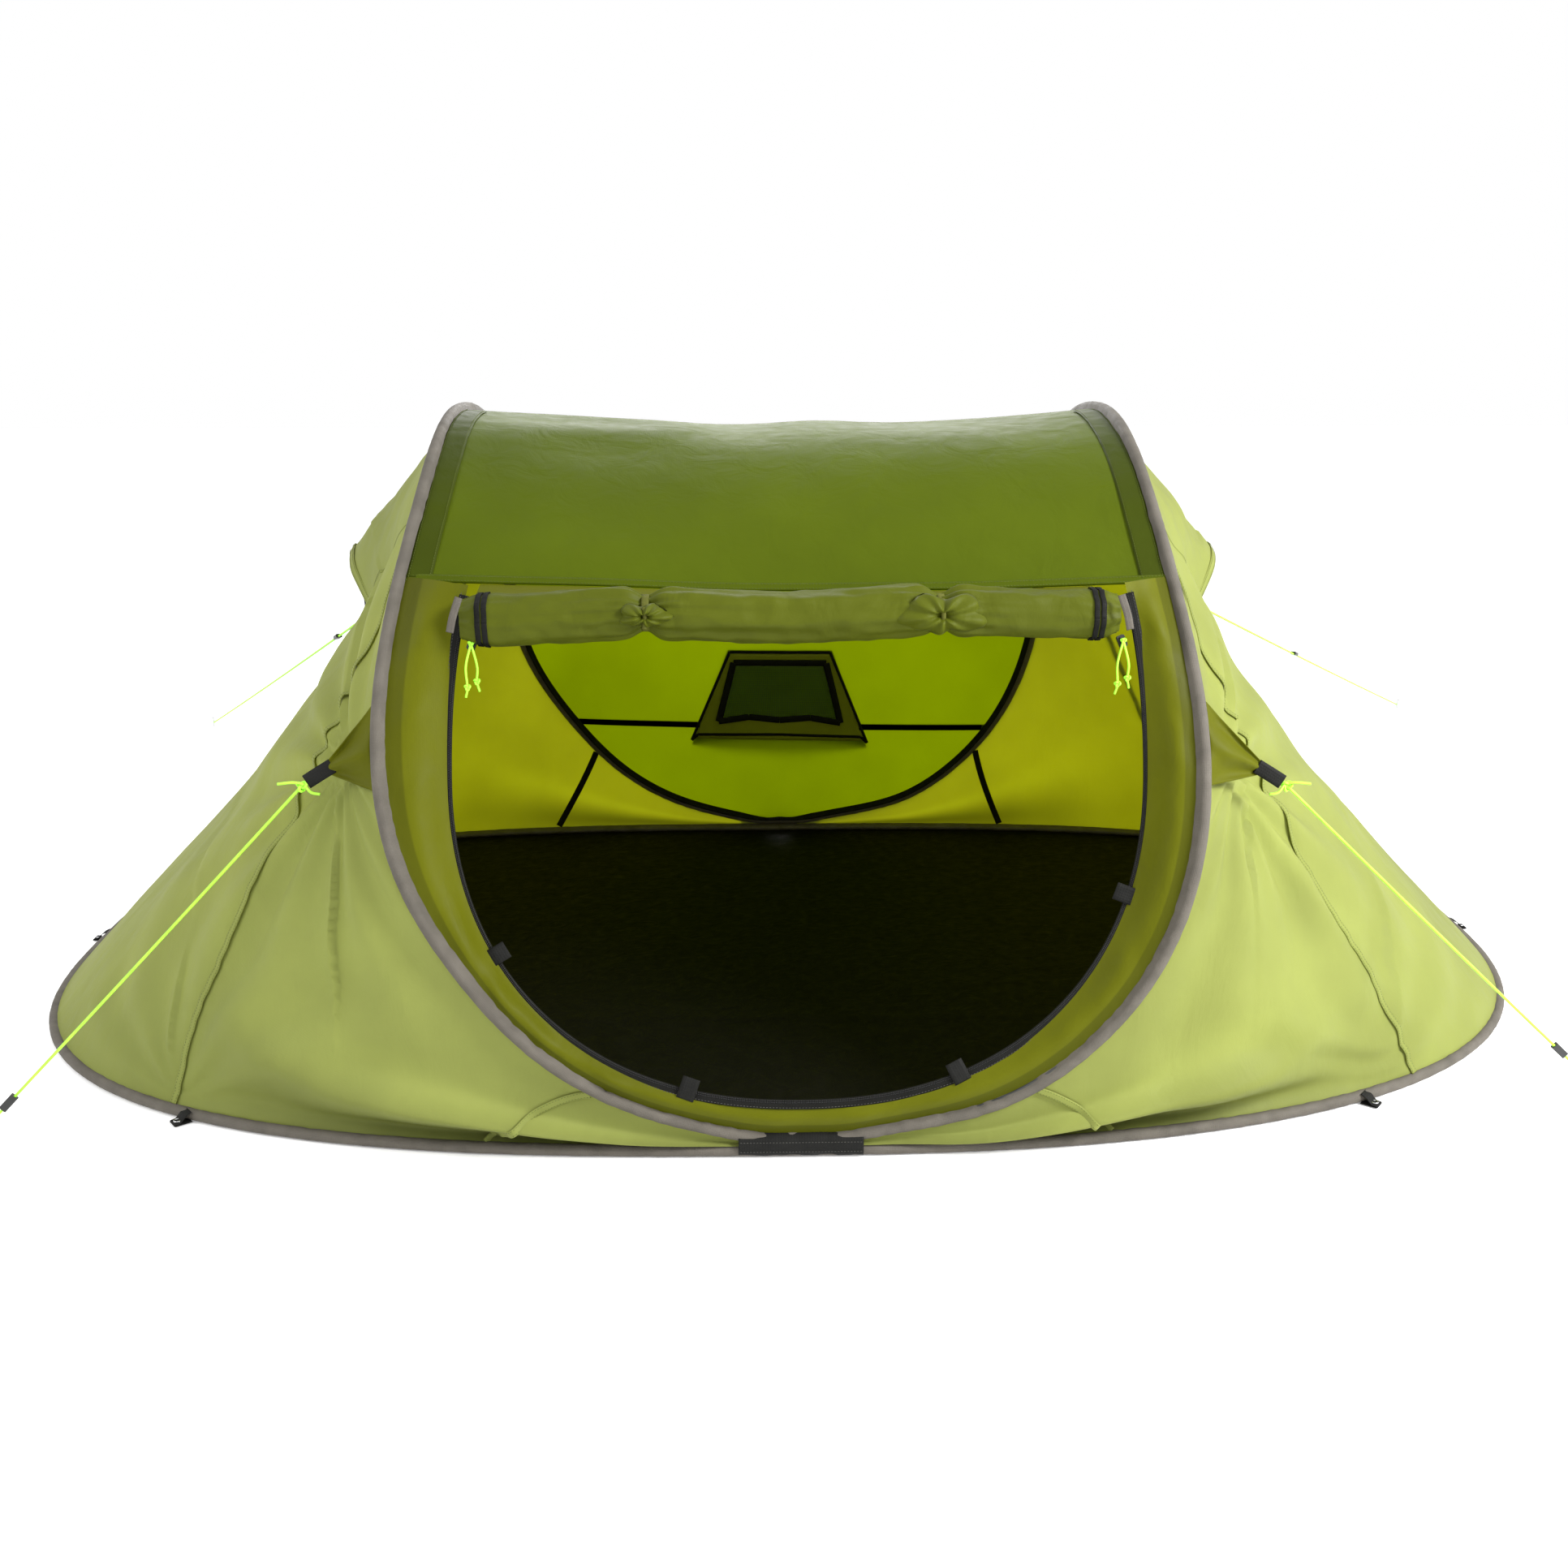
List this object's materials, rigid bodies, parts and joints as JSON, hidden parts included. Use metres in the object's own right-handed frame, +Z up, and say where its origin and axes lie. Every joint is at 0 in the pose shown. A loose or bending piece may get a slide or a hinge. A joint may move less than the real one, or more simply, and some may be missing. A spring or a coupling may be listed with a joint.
{
  "type": "pop up tent",
  "caption": "Wide pop up tent on a closed hoop and a ground ring, with its door rolled up, vent hoods and pegged guy lines.",
  "frame": {"origin": "middle of the tent's footprint, on the ground", "axes": "+X to the right seen from the door, +Y from the door to the rear, +Z up"},
  "size_m": [3.4017, 2.5717, 0.9632],
  "materials": {
    "canopy_cloth_light": "coated polyester, soft sheen",
    "canopy_cloth_dark": "coated polyester, soft sheen",
    "sleeve": "grey binding",
    "rod": "glass fibre rod",
    "groundsheet": "black coated sheet",
    "mesh": "black mosquito net",
    "webbing": "black webbing",
    "zip_tape": "black woven zip tape",
    "zip_metal": "nickel",
    "rope": "bright braided cord",
    "black_plastic": "moulded",
    "steel": "plain wire"
  },
  "bodies": {
    "tent": {"hoop_rod_left": "rod", "hoop_sleeve_left": "sleeve", "ring_rod_left": "rod", "ring_sleeve_left": "sleeve", "side_front_gore_left": "canopy_cloth_light", "side_middle_panel_left": "canopy_cloth_light", "side_rear_gore_left": "canopy_cloth_light", "side_vent_hood_left": "canopy_cloth_light", "side_vent_mesh_left": "mesh", "guy_gusset_left": "canopy_cloth_dark", "guy_tab_left": "webbing", "door_tie_left": "webbing", "guy_rope_front_left": "rope", "peg_front_left": "steel", "guy_rope_rear_left": "rope", "peg_rear_left": "steel", "hoop_rod_right": "rod", "hoop_sleeve_right": "sleeve", "ring_rod_right": "rod", "ring_sleeve_right": "sleeve", "side_front_gore_right": "canopy_cloth_light", "side_middle_panel_right": "canopy_cloth_light", "side_rear_gore_right": "canopy_cloth_light", "side_vent_hood_right": "canopy_cloth_light", "side_vent_mesh_right": "mesh", "guy_gusset_right": "canopy_cloth_dark", "guy_tab_right": "webbing", "door_tie_right": "webbing", "guy_rope_front_right": "rope", "peg_front_right": "steel", "guy_rope_rear_right": "rope", "peg_rear_right": "steel", "roof_front_panel": "canopy_cloth_dark", "rear_upper_panel": "canopy_cloth_dark", "rear_lower_panel": "canopy_cloth_light", "door_surround": "canopy_cloth_dark", "door_zip_tape": "zip_tape", "groundsheet": "groundsheet", "rolled_door": "canopy_cloth_dark", "rolled_door_zip_tapes": "zip_tape", "door_edge_tabs": "webbing", "rear_vent_hood": "canopy_cloth_dark", "rear_vent_mesh": "mesh", "rear_seam_tape": "webbing", "peg_loops_front": "webbing", "peg_loops_side": "webbing", "peg_loops_rear": "webbing", "rod_ferrules": "steel", "foot_patches": "webbing"},
    "slider_left": {"zip_slider_left": "zip_metal"},
    "cord_left": {"zip_pull_cord_left": "rope"},
    "strut_left": {"side_vent_strut_left": "black_plastic"},
    "slider_right": {"zip_slider_right": "zip_metal"},
    "cord_right": {"zip_pull_cord_right": "rope"},
    "strut_right": {"side_vent_strut_right": "black_plastic"},
    "strut_rear": {"rear_vent_strut": "black_plastic"},
    "runner_front_left": {"guy_runner_front_left": "black_plastic"},
    "runner_front_right": {"guy_runner_front_right": "black_plastic"},
    "runner_rear_left": {"guy_runner_rear_left": "black_plastic"},
    "runner_rear_right": {"guy_runner_rear_right": "black_plastic"}
  },
  "joints": [
    {"name": "zip_left", "type": "hinge", "parent": "tent", "child": "slider_left", "pos_m": [0, -0.6, 0.512], "axis": [0, -0.9613, 0.2756], "range_deg": [0, 80]},
    {"name": "pull_swing_left", "type": "hinge", "parent": "slider_left", "child": "cord_left", "pos_m": [-0.43637, -0.56627, 0.68114], "axis": [1, 0, 0], "range_deg": [-90, 0]},
    {"name": "zip_right", "type": "hinge", "parent": "tent", "child": "slider_right", "pos_m": [0, -0.6, 0.512], "axis": [0, -0.9613, 0.2756], "range_deg": [-80, 0]},
    {"name": "pull_swing_right", "type": "hinge", "parent": "slider_right", "child": "cord_right", "pos_m": [0.43637, -0.56627, 0.68114], "axis": [1, 0, 0], "range_deg": [-90, 0]},
    {"name": "vent_fold_left", "type": "hinge", "parent": "tent", "child": "strut_left", "pos_m": [-0.72443, 0.0734, 0.61206], "axis": [0, 1, 0], "range_deg": [0, 24]},
    {"name": "vent_fold_right", "type": "hinge", "parent": "tent", "child": "strut_right", "pos_m": [0.70921, 0.06635, 0.61206], "axis": [0, -1, 0], "range_deg": [0, 24]},
    {"name": "vent_fold_rear", "type": "hinge", "parent": "tent", "child": "strut_rear", "pos_m": [0, 0.69888, 0.222], "axis": [1, 0, 0], "range_deg": [-50, 0]},
    {"name": "runner_slide_front_left", "type": "slide", "parent": "tent", "child": "runner_front_left", "axis": [-0.6936, -0.094, -0.7142], "range_m": [-0.552, 0.023]},
    {"name": "runner_slide_front_right", "type": "slide", "parent": "tent", "child": "runner_front_right", "axis": [0.7314, 0.0893, -0.6761], "range_m": [-0.575, 0.026]},
    {"name": "runner_slide_rear_left", "type": "slide", "parent": "tent", "child": "runner_rear_left", "axis": [-0.4262, 0.8523, -0.3033], "range_m": [-0.113, 1.705]},
    {"name": "runner_slide_rear_right", "type": "slide", "parent": "tent", "child": "runner_rear_right", "axis": [0.5075, 0.8158, -0.2773], "range_m": [-0.686, 1.372]}
  ]
}
